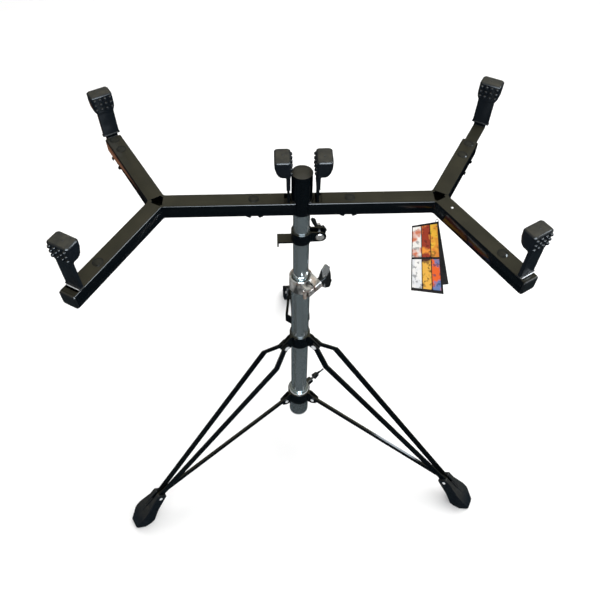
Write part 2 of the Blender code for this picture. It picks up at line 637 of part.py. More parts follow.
def build_boot(pad):
    """Rubber boot: a thin neck over the strap and a thick head leaning to one side."""
    side, row, _, strap, _, _ = PADS[pad]
    frame = fork_frame(side, row)
    lean = 1 if row > 0 else -1
    name = f"boot_{pad}"
    base = {-1: 0.0006, 0: 0.0300, 1: 0.0040}[row]
    top = BOOT_TOP[row] - HEAD_TOP
    neck_half = NECK_T / 2
    flat = frame @ Matrix.Translation((strap, 0, 0)) @ Matrix.Rotation(math.pi / 2, 4, "X")
    neck = [(-neck_half, base), (neck_half, base), (neck_half, top - 0.02), (-neck_half, top - 0.02)]
    edge = -neck_half - 0.0010
    head = ([(edge, top - 0.033), (edge, top - 0.003)]
            + arc((edge + 0.003, top - 0.003), 0.003, 180, 90, 3)[1:]
            + arc((BOOT_BACK - 0.005, top - 0.005), 0.005, 90, 0, 4)
            + [(BOOT_BACK - 0.0010, top - 0.015)]
            + arc((BOOT_BACK - 0.0085, top - 0.031), 0.002, 0, -90, 2))
    outline = [(x * lean, z) for x, z in head]
    boot = plate(name, outline, BOOT_W, flat)
    boot = join(boot, plate("neck", neck, NECK_W, flat))
    roof = top - BOOT_ROOF + GAP
    pocket = block("pocket", (STRAP_T + 2 * GAP, STRAP_W + 2 * GAP, roof + 0.01),
                   (strap, 0, (roof - 0.01) / 2), frame)
    finish(cut(boot, pocket), "rubber", frame @ Vector((strap, 0, 0)))


def build_clamp_bolt(pad):
    side, row, _, _, bolts, _ = PADS[pad]
    frame = fork_frame(side, row)
    head_at = frame @ Vector((bolts[0], 0, GAP))
    piece = bolt(f"bolt_{pad}", head_at, (0, 0, 1), TUBE_H + 0.010, BOLT_R, BOLT_HEAD_R, BOLT_HEAD_H, 20)
    finish(piece, "black_paint", head_at)
    base = frame @ Vector((bolts[0], 0, -TUBE_H - GAP))
    roll = (0.0 if row > 0 else math.pi / 2) - frame.to_euler().z
    nut = wing_nut(f"wing_nut_{pad}", base, (0, 0, -1), 0.030, 0.0155, BOLT_R + GAP, 0.0062, roll, 16)
    finish(nut, "dark_chrome", base)


def build_tag():
    """Folded card that hangs from the inner corner of the right fork."""
    width, height, leaf = 0.050, 0.116, 0.0006
    hang = Vector((FORK_X[1], -TUBE_W / 2 - 0.019, HEAD_TOP - TUBE_H - 0.006))
    spread = 0.12
    outline = [(0, 0), (-leaf * 0.5, leaf), (width * math.cos(spread), width * math.sin(spread) + leaf),
               (width * math.cos(spread), width * math.sin(spread)), (leaf * 2, leaf * 0.6),
               (width, -leaf * 0.4), (width, -leaf)]
    card = plate("hang_tag", outline, height, Matrix.Translation((-width, 0, -height / 2)))
    tilt = Matrix.Translation(hang) @ Matrix.Rotation(math.radians(-56), 4, "X")
    card.data.transform(tilt @ Matrix.Rotation(math.radians(4), 4, "Y"))
    finish(card, "card", hang)


# ---------------------------------------------------------------- the whole stand
def build_stand():
    build_lower_tube()
    finish(build_collar("upper_collar", COLLAR_Z, 0.0225, LOWER_R + GAP, LEG_PIVOT,
                        BAR_SPREAD[0] - BAR_T / 2 - GAP, 0.0016, PIN_R + GAP), "black_paint")
    for side, degrees in LEG_AZIMUTH.items():
        azimuth = math.radians(degrees) + LEG_TWIST
        build_pivot_pin(side, azimuth)
        build_leg(side, azimuth)
        build_brace(side, azimuth)
    build_slider()
    build_height_clamp()
    build_mast()
    build_beam()
    for pad, (_, row, *_) in PADS.items():
        if row:
            build_arm(pad)
        build_bracket(pad)
        build_boot(pad)
        build_clamp_bolt(pad)
    build_tag()


def centre_on_footprint():
    """Move every piece together so that the origin is on the floor, in the middle of the stand."""
    points = [obj.location + vertex.co for obj in STAND.objects for vertex in obj.data.vertices]
    xs = [point.x for point in points]
    ys = [point.y for point in points]
    shift = Vector(((min(xs) + max(xs)) / 2, (min(ys) + max(ys)) / 2, 0))
    for obj in STAND.objects:
        obj.location -= shift


build_stand()
centre_on_footprint()
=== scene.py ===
"""Looks of the double hand-drum stand: finishes, rubber boots and shoes, welds, rivets and card.

Metres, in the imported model's frame.  The column's axis is read from the upper tube.
"""
import math

import bmesh
import bpy
from mathutils import Matrix, Vector


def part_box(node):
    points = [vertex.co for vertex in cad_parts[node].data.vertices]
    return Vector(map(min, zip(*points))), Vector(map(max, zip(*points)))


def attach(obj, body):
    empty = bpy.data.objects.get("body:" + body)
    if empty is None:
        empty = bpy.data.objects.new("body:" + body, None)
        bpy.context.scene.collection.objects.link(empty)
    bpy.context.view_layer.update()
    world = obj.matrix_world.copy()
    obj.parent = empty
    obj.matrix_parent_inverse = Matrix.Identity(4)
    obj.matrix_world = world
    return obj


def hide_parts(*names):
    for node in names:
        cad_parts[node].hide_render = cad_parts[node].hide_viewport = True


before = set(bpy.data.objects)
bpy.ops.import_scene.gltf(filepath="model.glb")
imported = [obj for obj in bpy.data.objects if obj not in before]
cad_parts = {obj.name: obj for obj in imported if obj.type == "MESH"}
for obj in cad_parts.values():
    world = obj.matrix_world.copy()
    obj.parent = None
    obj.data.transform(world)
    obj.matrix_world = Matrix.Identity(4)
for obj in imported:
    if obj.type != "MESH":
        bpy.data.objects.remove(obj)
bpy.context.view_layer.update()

MM = 0.001


def centre(node):
    """Middle of a CAD node's box."""
    low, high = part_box(node)
    return (low + high) / 2


COLUMN = Vector((centre("upper_tube").x, centre("upper_tube").y, 0))
BEAM_LOW, BEAM_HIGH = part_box("arm_front_left")
TUBE_TOP = BEAM_HIGH.z
TUBE_H = BEAM_HIGH.z - BEAM_LOW.z
TUBE_W = 30 * MM
FORK_GAP = 0.5 * TUBE_W / math.tan(math.radians(60))    # fork centre to the tubes' square ends
FORK_X = {-1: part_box("cross_beam")[0].x - FORK_GAP, 1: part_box("cross_beam")[1].x + FORK_GAP}
LEGS = {"left": 211.4, "right": 331.4, "rear": 91.4}     # azimuths in degrees
PADS = {"front_left": (-1, -1), "front_right": (1, -1), "rear_left": (-1, 1), "rear_right": (1, 1),
        "center_left": (-1, 0), "center_right": (1, 0)}  # fork side; front, rear or beam upright


def fork_frame(side, row):
    """Matrix whose X axis runs out from a fork's centre along one of its three tubes, Z = 0 on top."""
    azimuth = {-1: -math.pi / 3, 1: math.pi / 3, 0: math.pi}[row]
    if side < 0:
        azimuth = math.pi - azimuth
    return Matrix.Translation((FORK_X[side], COLUMN.y, TUBE_TOP)) @ Matrix.Rotation(azimuth, 4, "Z")


def span(node, place):
    """Lowest and highest corner of a CAD node, measured in the axes of a matrix."""
    turn = place.inverted()
    points = [turn @ vertex.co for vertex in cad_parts[node].data.vertices]
    return (Vector(min(p[i] for p in points) for i in range(3)),
            Vector(max(p[i] for p in points) for i in range(3)))


# ---------------------------------------------------------------- shader node helpers
def map_range(nodes, low, high, to_low=0.0, to_high=1.0):
    """Node that stretches the range low to high to the range to_low to to_high."""
    node = nodes.new("ShaderNodeMapRange")
    node.inputs["From Min"].default_value = low
    node.inputs["From Max"].default_value = high
    node.inputs["To Min"].default_value = to_low
    node.inputs["To Max"].default_value = to_high
    return node


def combine(nodes, links, operation, first, second):
    """Output of a math node that joins two values."""
    node = nodes.new("ShaderNodeMath")
    node.operation = operation
    links.new(first, node.inputs[0])
    links.new(second, node.inputs[1])
    return node.outputs[0]


# ---------------------------------------------------------------- camera, light and floor
def build_camera():
    """Hand-held view from above and in front of the stand, level but for a slight roll."""
    yaw, pitch, roll = math.radians(2.76), math.radians(52.19), math.radians(-0.85)
    eye = COLUMN + Vector((-38.4, -784.9, 1580.7)) * MM
    forward = Vector((math.sin(yaw) * math.cos(pitch), math.cos(yaw) * math.cos(pitch),
                      -math.sin(pitch)))
    right = Vector((math.cos(yaw), -math.sin(yaw), 0))
    down = forward.cross(right)
    turned_right = right * math.cos(roll) + down * math.sin(roll)
    turned_down = down * math.cos(roll) - right * math.sin(roll)
    data = bpy.data.cameras.new("camera")
    data.sensor_width = 36
    data.lens = 37.46
    data.clip_end = 50
    camera = bpy.data.objects.new("camera", data)
    bpy.context.scene.collection.objects.link(camera)
    camera.matrix_world = Matrix.Translation(eye) @ Matrix(
        (turned_right, -turned_down, -forward)).transposed().to_4x4()
    bpy.context.scene.camera = camera


def area_light(name, direction, distance, size, power, colour, glossy=True):
    """Rectangular light that faces the beam from a direction."""
    data = bpy.data.lights.new(name, "AREA")
    data.shape = "RECTANGLE"
    data.size, data.size_y = size
    data.energy = power
    data.color = colour
    light = bpy.data.objects.new(name, data)
    bpy.context.scene.collection.objects.link(light)
    direction = Vector(direction).normalized()
    light.location = COLUMN + Vector((0, 0, TUBE_TOP)) + direction * distance
    light.rotation_mode = "QUATERNION"
    light.rotation_quaternion = (-direction).to_track_quat("-Z", "Y")
    light.visible_glossy = glossy
    light.visible_camera = False
    return light


# direction of a reflection, 0 straight down and 1 straight up, with the room's colour there
ROOM = ((0.0, (0.020, 0.028, 0.032)), (0.30, (0.036, 0.046, 0.050)), (0.50, (0.020, 0.028, 0.036)),
        (0.66, (0.050, 0.056, 0.062)), (0.84, (0.120, 0.116, 0.090)), (1.0, (0.28, 0.27, 0.21)))


def build_world():
    """Even white light; reflections alone see a dim, patchy room under a warm ceiling."""
    world = bpy.data.worlds.new("studio")
    bpy.context.scene.world = world
    world.use_nodes = True
    nodes, links = world.node_tree.nodes, world.node_tree.links
    nodes.clear()
    out = nodes.new("ShaderNodeOutputWorld")
    mix = nodes.new("ShaderNodeMixShader")
    even = nodes.new("ShaderNodeBackground")
    even.inputs["Color"].default_value = (1.0, 1.0, 1.0, 1)
    even.inputs["Strength"].default_value = 0.80
    room = nodes.new("ShaderNodeBackground")
    path = nodes.new("ShaderNodeLightPath")
    place = nodes.new("ShaderNodeTexCoord")
    split = nodes.new("ShaderNodeSeparateXYZ")
    ramp = nodes.new("ShaderNodeValToRGB")
    shift = map_range(nodes, -1.0, 1.0)
    ramp.color_ramp.elements[0].color = (*ROOM[0][1], 1)
    ramp.color_ramp.elements[1].color = (*ROOM[-1][1], 1)
    for position, colour in ROOM[1:-1]:
        ramp.color_ramp.elements.new(position).color = (*colour, 1)
    patches = nodes.new("ShaderNodeTexNoise")
    patches.inputs["Scale"].default_value = 2.1
    patches.inputs["Detail"].default_value = 1.0
    depth = map_range(nodes, 0.35, 0.68, 0.45, 2.1)
    links.new(place.outputs["Generated"], patches.inputs["Vector"])
    links.new(patches.outputs["Fac"], depth.inputs["Value"])
    # below the horizon, the far side of the room is dark
    shade = map_range(nodes, 0.12, 0.56, 1.0, 0.06)
    links.new(split.outputs["Y"], shade.inputs["Value"])
    above = map_range(nodes, -0.20, 0.05)
    links.new(split.outputs["Z"], above.inputs["Value"])
    lit = combine(nodes, links, "MAXIMUM", shade.outputs["Result"], above.outputs["Result"])
    strength = combine(nodes, links, "MULTIPLY", depth.outputs["Result"], lit)
    links.new(strength, room.inputs["Strength"])
    links.new(place.outputs["Generated"], split.inputs[0])
    links.new(split.outputs["Z"], shift.inputs["Value"])
    links.new(shift.outputs["Result"], ramp.inputs["Fac"])
    links.new(ramp.outputs["Color"], room.inputs["Color"])
    links.new(path.outputs["Is Glossy Ray"], mix.inputs["Fac"])
    links.new(even.outputs[0], mix.inputs[1])
    links.new(room.outputs[0], mix.inputs[2])
    links.new(mix.outputs[0], out.inputs["Surface"])


def build_stage():
    """World, floor and lights."""
    build_world()
    bpy.context.scene.view_settings.view_transform = "Standard"
    bm = bmesh.new()
    bmesh.ops.create_grid(bm, x_segments=1, y_segments=1, size=6)
    mesh = bpy.data.meshes.new("floor")
    bm.to_mesh(mesh)
    bm.free()
    floor = bpy.data.objects.new("floor", mesh)
    bpy.context.scene.collection.objects.link(floor)
    floor.location = (0, 0, -0.0005)
    paint = bpy.data.materials.new("floor_white")
    paint.use_nodes = True
    shader = paint.node_tree.nodes["Principled BSDF"]
    shader.inputs["Base Color"].default_value = (0.94, 0.94, 0.94, 1)
    shader.inputs["Roughness"].default_value = 0.9
    shader.inputs["Specular IOR Level"].default_value = 0.1
    mesh.materials.append(paint)
    floor.visible_glossy = False
    area_light("ceiling", (0.35, 0.30, 1), 2.6, (3.0, 2.6), 80, (1, 0.99, 0.97), glossy=False)
    # the next two only show in reflections, as bright lines along the edges that face them
    front = area_light("front_edge_light", (0.1, -0.73, 0.69), 2.4, (2.6, 0.9), 120, (0.78, 0.89, 1.0))
    right = area_light("right_edge_light", (0.83, -0.01, 0.53), 2.2, (0.9, 0.6), 26, (0.80, 0.90, 1.0))
    for light in (front, right):
        light.visible_diffuse = False
    area_light("floor_glow", (-1.05, 0.94, -0.77), 1.55, (0.40, 0.25), 0.14, (1.0, 0.46, 0.26))
    area_light("side_fill", (0.94, -0.30, 0.33), 2.2, (0.9, 0.5), 5, (0.86, 0.93, 1.0), glossy=False)


# ---------------------------------------------------------------- finishes
class Finish:
    """A Principled material with helpers to lay procedural variation over it."""

    def __init__(self, name, colour, roughness, metallic=0.0, specular=0.5):
        self.material = bpy.data.materials.new(name)
        self.material.use_nodes = True
        self.nodes = self.material.node_tree.nodes
        self.links = self.material.node_tree.links
        self.shader = self.nodes["Principled BSDF"]
        self.colour = self.nodes.new("ShaderNodeRGB")
        self.colour.outputs[0].default_value = (*colour, 1)
        self.colour_end = self.colour.outputs[0]
        self.rough_end = None
        self.bump_end = None
        self.shader.inputs["Metallic"].default_value = metallic
        self.shader.inputs["Specular IOR Level"].default_value = specular
        self.shader.inputs["Roughness"].default_value = roughness
        self.place = self.nodes.new("ShaderNodeTexCoord")

    def coat(self, weight, roughness):
        """Thin clear skin that catches narrow highlights on edges."""
        self.shader.inputs["Coat Weight"].default_value = weight
        self.shader.inputs["Coat Roughness"].default_value = roughness

    def noise(self, size, detail, stretch=None):
        """Noise whose features are about size across, in metres."""
        node = self.nodes.new("ShaderNodeTexNoise")
        node.inputs["Scale"].default_value = 1 / size
        node.inputs["Detail"].default_value = detail
        node.inputs["Roughness"].default_value = 0.55
        source = self.place.outputs["Object"]
        if stretch:
            mapping = self.nodes.new("ShaderNodeMapping")
            mapping.inputs["Scale"].default_value = stretch
            self.links.new(source, mapping.inputs["Vector"])
            source = mapping.outputs["Vector"]
        self.links.new(source, node.inputs["Vector"])
        return node.outputs["Fac"]

    def spread(self, value, low, high, to_low, to_high):
        """Output that stretches a value's range low to high to the range to_low to to_high."""
        node = map_range(self.nodes, low, high, to_low, to_high)
        self.links.new(value, node.inputs["Value"])
        return node.outputs["Result"]

    def times(self, first, second):
        return combine(self.nodes, self.links, "MULTIPLY", first, second)

    def upward(self, low, high):
        """0 to 1 as the surface turns to face up."""
        geometry = self.nodes.new("ShaderNodeNewGeometry")
        split = self.nodes.new("ShaderNodeSeparateXYZ")
        self.links.new(geometry.outputs["Normal"], split.inputs[0])
        return self.spread(split.outputs["Z"], low, high, 0, 1)

    def tint(self, amount, colour):
        """Lay a second colour over what is there, as strongly as amount says."""
        node = self.nodes.new("ShaderNodeMix")
        node.data_type = "RGBA"
        self.links.new(amount, node.inputs["Factor"])
        self.links.new(self.colour_end, node.inputs["A"])
        node.inputs["B"].default_value = (*colour, 1)
        self.colour_end = node.outputs["Result"]

    def vary_roughness(self, value, low, high):
        """Let noise, which mostly stays within 0.3 to 0.7, move the roughness from low to high."""
        self.rough_end = self.spread(value, 0.3, 0.7, low, high)

    def bump(self, value, height, strength):
        node = self.nodes.new("ShaderNodeBump")
        node.inputs["Distance"].default_value = height
        node.inputs["Strength"].default_value = strength
        self.links.new(value, node.inputs["Height"])
        if self.bump_end:
            self.links.new(self.bump_end, node.inputs["Normal"])
        self.bump_end = node.outputs["Normal"]

    def done(self):
        self.links.new(self.colour_end, self.shader.inputs["Base Color"])
        if self.rough_end:
            self.links.new(self.rough_end, self.shader.inputs["Roughness"])
        if self.bump_end:
            self.links.new(self.bump_end, self.shader.inputs["Normal"])
        return self.material


def black_paint(name, colour=(0.0008, 0.0022, 0.0040), dust_and_top_light=0.60):
    """Satin powder coat: orange-peel skin, handling smudges and an olive tint on what faces up, partly a
    dusty coating and partly painted warm light from above.
    """
    finish = Finish(name, colour, 0.36, specular=0.04)
    finish.coat(0.75, 0.11)
    finish.tint(finish.spread(finish.noise(0.09, 2), 0.35, 0.7, 0, 0.5), (0.0012, 0.0026, 0.0040))
    # painted light: half of this upward olive tint is a dusty coating and half is a painted reflection
    # of the warm ceiling
    dust_and_top_sheen = finish.times(finish.upward(0.55, 0.98),
                        finish.spread(finish.noise(0.045, 4), 0.25, 0.75, dust_and_top_light * 0.65, dust_and_top_light))
    finish.tint(dust_and_top_sheen, (0.047, 0.043, 0.027))
    specks = finish.spread(finish.noise(0.0035, 1), 0.76, 0.82, 0, 0.3)
    finish.tint(specks, (0.05, 0.05, 0.045))
    finish.vary_roughness(finish.noise(0.03, 5), 0.30, 0.44)
    finish.bump(finish.noise(0.0016, 2), 0.00010, 0.5)
    return finish.done()


def chrome(name, colour, rough=(0.05, 0.14), streak=0.25, metallic=1.0, dark=0.0, light=0.0, warm=0.0):
    """Plated metal: long polishing marks, haze, and soft-edged patches of painted dark reflection,
    painted highlight streaks and painted warm reflection.
    """
    finish = Finish(name, colour, rough[0], metallic=metallic)
    finish.tint(finish.spread(finish.noise(0.05, 4), 0.45, 0.75, 0, streak),
                tuple(c * 0.6 for c in colour))
    if dark:
        # painted shade: soft dark patches standing in for dark surroundings reflected in the metal
        dark_reflection_bands = finish.noise(0.016, 2, stretch=(1, 1, 0.45))
        finish.tint(finish.spread(dark_reflection_bands, 0.40, 0.62, 0, dark), (0.015, 0.018, 0.020))
    if warm:
        # painted reflection: an orange-brown glow from something warm beside the stand, laid into the
        # metal's colour
        warm_reflection_patches = finish.noise(0.016, 2, stretch=(1, 1, 0.5))
        finish.tint(finish.spread(warm_reflection_patches, 0.50, 0.68, 0, warm), (0.62, 0.32, 0.17))
    if light:
        # painted highlight: narrow pale streaks on the dark metal
        highlight_stripes = finish.noise(0.009, 0, stretch=(1, 0.4, 0.25))
        finish.tint(finish.spread(highlight_stripes, 0.56, 0.60, 0, light), (0.85, 0.87, 0.88))
    finish.vary_roughness(finish.noise(0.02, 5, stretch=(1, 1, 0.12)), *rough)
    finish.bump(finish.noise(0.0010, 2, stretch=(1, 1, 0.02)), 0.00002, 0.35)
    return finish.done()


def rubber(name, colour=(0.0040, 0.0075, 0.0125)):
    """Matt moulded rubber with a fine texture and a grey-olive tint where it faces up, partly the
    rubber's bloomed skin and partly painted warm light from above.
    """
    finish = Finish(name, colour, 0.48, specular=0.12)
    finish.coat(0.55, 0.20)
    # painted light: the grey-olive tint on upward faces is partly bloomed rubber and partly a painted
    # reflection of the warm ceiling
    bloom_and_top_sheen = finish.times(finish.upward(0.45, 0.95),
                         finish.spread(finish.noise(0.010, 4), 0.3, 0.7, 0.5, 1.0))
    finish.tint(bloom_and_top_sheen, (0.044, 0.042, 0.033))
    finish.tint(finish.spread(finish.noise(0.0022, 2), 0.68, 0.80, 0, 0.4), (0.05, 0.052, 0.05))
    finish.vary_roughness(finish.noise(0.008, 4), 0.40, 0.60)
    finish.bump(finish.noise(0.0007, 3), 0.00010, 0.5)
    return finish.done()


def moulded_plastic(name, colour=(0.004, 0.006, 0.008), dust_and_top_light=(0.050, 0.045, 0.030)):
    """Smooth moulded plastic with an olive tint on what faces up, partly a dusty coating and partly
    painted warm light from above.
    """
    finish = Finish(name, colour, 0.4, specular=0.45)
    finish.coat(0.4, 0.15)
    # painted light: the upward olive tint is partly a dusty coating and partly a painted reflection of
    # the warm ceiling
    finish.tint(finish.times(finish.upward(0.5, 1.0),
                             finish.spread(finish.noise(0.02, 3), 0.3, 0.7, 0.5, 0.9)), dust_and_top_light)
    finish.vary_roughness(finish.noise(0.01, 3), 0.34, 0.5)
    finish.bump(finish.noise(0.0008, 2), 0.00006, 0.5)
    return finish.done()


def printed_card(name, colour, second):
    """Coated card: one ink running softly into another, with paper fibre under the gloss."""
    finish = Finish(name, colour, 0.62, specular=0.08)
    finish.tint(finish.spread(finish.noise(0.018, 2, stretch=(1, 1, 0.5)), 0.44, 0.56, 0, 1), second)
    finish.tint(finish.spread(finish.noise(0.007, 2), 0.56, 0.64, 0, 0.7),
                tuple(c * 0.25 for c in colour))
    finish.vary_roughness(finish.noise(0.02, 3), 0.55, 0.70)
    finish.bump(finish.noise(0.0006, 2), 0.00003, 0.4)
    return finish.done()


PAINT = black_paint("powder_coat")
# its upward faces take a weaker olive tint, partly dusty coating and partly painted warm light from
# above
ZINC = black_paint("black_zinc", (0.006, 0.008, 0.010), 0.40)
TUBE_CHROME = chrome("tube_chrome", (0.72, 0.80, 0.82), metallic=0.90)
SLEEVE_CHROME = chrome("sleeve_chrome", (0.52, 0.58, 0.60), (0.06, 0.14), metallic=0.90)
# the clamp's dark and warm patches are painted reflection
CAST_CHROME = chrome("cast_chrome", (0.86, 0.85, 0.82), (0.08, 0.17), metallic=0.62, dark=0.9, warm=0.45)
# pale zinc made mostly diffuse and near white: partly the metal's own colour, partly painted highlight
# for the white floor its reflections don't see
ZINC_PAINTED_SHINE = chrome("zinc_painted_shine", (0.86, 0.87, 0.88), (0.25, 0.40), metallic=0.25)
# its pale streaks are painted highlight
WING_METAL = chrome("wing_nickel", (0.045, 0.048, 0.050), (0.12, 0.24), metallic=0.8, light=0.9)
RUBBER = rubber("boot_rubber")
PLASTIC = moulded_plastic("cap_plastic")
CARD_BLACK = printed_card("card_border", (0.008, 0.007, 0.007), (0.014, 0.011, 0.010))
CARD_INKS = (printed_card("ink_white", (0.76, 0.74, 0.70), (0.55, 0.16, 0.08)),
             printed_card("ink_red", (0.30, 0.035, 0.012), (0.78, 0.28, 0.04)),
             printed_card("ink_gold", (0.82, 0.46, 0.04), (0.70, 0.22, 0.03)),
             printed_card("ink_pale", (0.66, 0.67, 0.69), (0.78, 0.77, 0.75)),
             printed_card("ink_dark", (0.060, 0.018, 0.010), (0.74, 0.40, 0.06)),
             printed_card("ink_blue", (0.12, 0.19, 0.40), (0.76, 0.12, 0.02)))


# ---------------------------------------------------------------- mesh helpers
def add_piece(name, bm, material, body, smooth=40):
    mesh = bpy.data.meshes.new(name)
    bmesh.ops.recalc_face_normals(bm, faces=bm.faces)
    bm.to_mesh(mesh)
    bm.free()
    mesh.shade_smooth()
    mesh.set_sharp_from_angle(angle=math.radians(smooth))
    piece = bpy.data.objects.new(name, mesh)
    bpy.context.scene.collection.objects.link(piece)
    mesh.materials.append(material)
    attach(piece, body)
    return piece


def soften(piece, width, segments=3, angle=30):
    """Round the piece's hard edges."""
    bevel = piece.modifiers.new("round", "BEVEL")
    bevel.width = width
    bevel.segments = segments
    bevel.limit_method = "ANGLE"
    bevel.angle_limit = math.radians(angle)
    bevel.harden_normals = True
    return piece


def dress(node, material, bevel=0.0, segments=2):
    """Give a CAD node its finish, smooth round faces and slightly broken edges."""
    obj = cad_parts[node]
    mesh = obj.data
    mesh.materials.clear()
    mesh.materials.append(material)
    if "custom_normal" in mesh.attributes:
        mesh.attributes.remove(mesh.attributes["custom_normal"])
    for polygon in mesh.polygons:
        polygon.use_smooth = True
        polygon.material_index = 0
    weld = obj.modifiers.new("weld", "WELD")
    weld.merge_threshold = 1e-6
    if bevel:
        flat = obj.modifiers.new("flat", "DECIMATE")
        flat.decimate_type = "DISSOLVE"
        flat.angle_limit = math.radians(0.5)
        soften(obj, bevel, segments)
    split = obj.modifiers.new("split", "EDGE_SPLIT")
    split.split_angle = math.radians(38)


def loft(bm, rings, place):
    """Closed skin through rings of local points, all with the same number of points."""
    loops = [[bm.verts.new(place @ Vector(point)) for point in ring] for ring in rings]
    count = len(loops[0])
    for lower, upper in zip(loops, loops[1:]):
        for i in range(count):
            j = (i + 1) % count
            bm.faces.new((lower[i], lower[j], upper[j], upper[i]))
    bm.faces.new(reversed(loops[0]))
    bm.faces.new(loops[-1])


def circle(radius, z, sides=16):
    """Ring of local points round the Z axis."""
    return [(radius * math.cos(math.tau * i / sides), radius * math.sin(math.tau * i / sides), z)
            for i in range(sides)]


def dome(bm, place, radius, height, sides=16, foot=0.0):
    """Low rounded button standing on the local XY plane, with its foot sunk below it."""
    rings = [circle(radius, -foot, sides)]
    for step in range(4):
        angle = math.pi / 2 * step / 4
        rings.append(circle(radius * math.cos(angle), height * math.sin(angle), sides))
    rings.append(circle(radius * 0.12, height, sides))
    loft(bm, rings, place)


def facing(point, normal):
    """Matrix that stands a button on a point, with its Z along the normal."""
    return Matrix.Translation(point) @ Vector(normal).to_track_quat("Z", "X").to_matrix().to_4x4()


def bead(name, points, radius, body):
    """Weld bead: a lumpy rounded cord of metal laid along points, painted over."""
    curve = bpy.data.curves.new(name, "CURVE")
    curve.dimensions = "3D"
    curve.bevel_depth = radius
    curve.bevel_resolution = 3
    curve.use_fill_caps = True
    spline = curve.splines.new("POLY")
    spline.points.add(len(points) - 1)
    for i, (slot, point) in enumerate(zip(spline.points, points)):
        slot.co = (*point, 1)
        end = min(i, len(points) - 1 - i)
        slot.radius = (0.45 if end == 0 else 1.0) * (1 + 0.16 * math.sin(2.4 * i))
    spline.use_smooth = True
    curve.materials.append(PAINT)
    piece = bpy.data.objects.new(name, curve)
    bpy.context.scene.collection.objects.link(piece)
    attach(piece, body)


# ---------------------------------------------------------------- carried-over nodes
def dress_nodes():
    """Finish of every CAD node, by its name."""
    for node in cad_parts:
        if node in ("lower_tube", "upper_tube", "tube_stop"):
            dress(node, TUBE_CHROME)
        elif node == "slider_sleeve":
            dress(node, SLEEVE_CHROME)
        elif node in ("height_clamp", "clamp_bolt", "memory_lock_bolt"):
            dress(node, CAST_CHROME, 0.5 * MM)
        elif "pivot_pin" in node:
            dress(node, ZINC_PAINTED_SHINE)
        elif node == "clamp_wing_nut":
            dress(node, WING_METAL, 0.5 * MM)
        elif "wing" in node or node.startswith("bolt_"):
            dress(node, ZINC, 0.3 * MM)
        elif "boot" in node or node == "hang_tag":
            dress(node, RUBBER)
        elif "shoe" in node:
            dress(node, RUBBER, 1.3 * MM, 3)
        elif node in ("guide_bush", "sleeve_cap"):
            dress(node, PLASTIC)
        else:
            dress(node, PAINT, 0.4 * MM)


# ---------------------------------------------------------------- rubber boots
def rounded(x_low, x_high, half_y, z, radius):
    """Ring of local points: a rectangle with quarter-round corners."""
    steps = 4                                     # per corner
    radius = min(radius, (x_high - x_low) * 0.49, half_y * 0.98)
    right, left, far = x_high - radius, x_low + radius, half_y - radius
    ring = []
    for quarter, (x, y) in enumerate(((right, far), (left, far), (left, -far), (right, -far))):
        for step in range(steps + 1):
            angle = math.pi / 2 * (quarter + step / steps)
            ring.append((x + radius * math.cos(angle), y + radius * math.sin(angle), z))
    return ring


